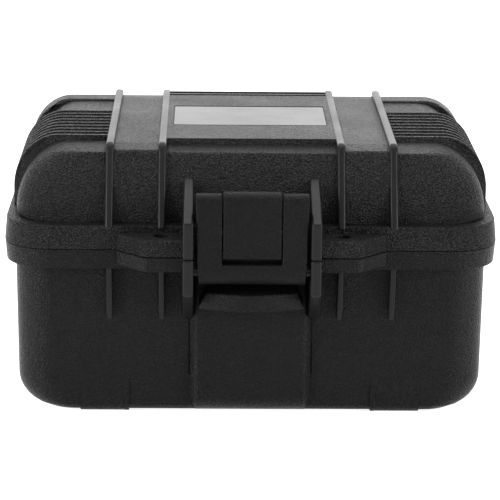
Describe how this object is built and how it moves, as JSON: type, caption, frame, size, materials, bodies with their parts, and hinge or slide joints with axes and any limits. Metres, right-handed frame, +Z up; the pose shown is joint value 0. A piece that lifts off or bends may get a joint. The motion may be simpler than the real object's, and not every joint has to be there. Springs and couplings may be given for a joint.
{
  "type": "tool case",
  "caption": "Small moulded hard case with a domed ribbed lid, rear hinges, padlock tabs and a front latch with a rocking release trigger.",
  "frame": {"origin": "centre of the closed case's outline, on the surface it stands on, under its feet", "axes": "+X to the case's right seen from the front, +Y from the latch to the hinges, +Z up"},
  "size_m": [0.3, 0.249, 0.1656],
  "materials": {
    "case_plastic": "pebbled black moulding",
    "latch_plastic": "fine grained black moulding",
    "plate_plastic": "smooth satin black",
    "seal_rubber": "matt black rubber",
    "pin_steel": "plain bright steel",
    "foot_plastic": "matt black"
  },
  "bodies": {
    "base": {"base_shell": "case_plastic", "latch_pin": "pin_steel", "hinge_pin_left": "pin_steel", "hinge_pin_right": "pin_steel", "foot_pad_front_left": "foot_plastic", "foot_pad_front_right": "foot_plastic", "foot_pad_back_left": "foot_plastic", "foot_pad_back_right": "foot_plastic"},
    "lid": {"lid_shell": "case_plastic", "lid_seal": "seal_rubber", "name_plate": "plate_plastic"},
    "latch": {"latch_frame": "latch_plastic", "trigger_pin": "pin_steel", "trigger_spring": "pin_steel"},
    "trigger": {"latch_trigger": "latch_plastic"}
  },
  "joints": [
    {"name": "lid_hinge", "type": "hinge", "parent": "base", "child": "lid", "pos_m": [0, 0.119, 0.106], "axis": [-1, 0, 0], "range_deg": [0, 100]},
    {"name": "latch_hinge", "type": "hinge", "parent": "base", "child": "latch", "pos_m": [0, -0.113, 0.0955], "axis": [1, 0, 0], "range_deg": [0, 100]},
    {"name": "trigger_rock", "type": "hinge", "parent": "latch", "child": "trigger", "pos_m": [0, -0.116, 0.121], "axis": [-1, 0, 0], "range_deg": [0, 10], "stiffness_Nm_per_rad": 0.05, "springref_deg": 10, "deforming": ["trigger_spring"]}
  ]
}
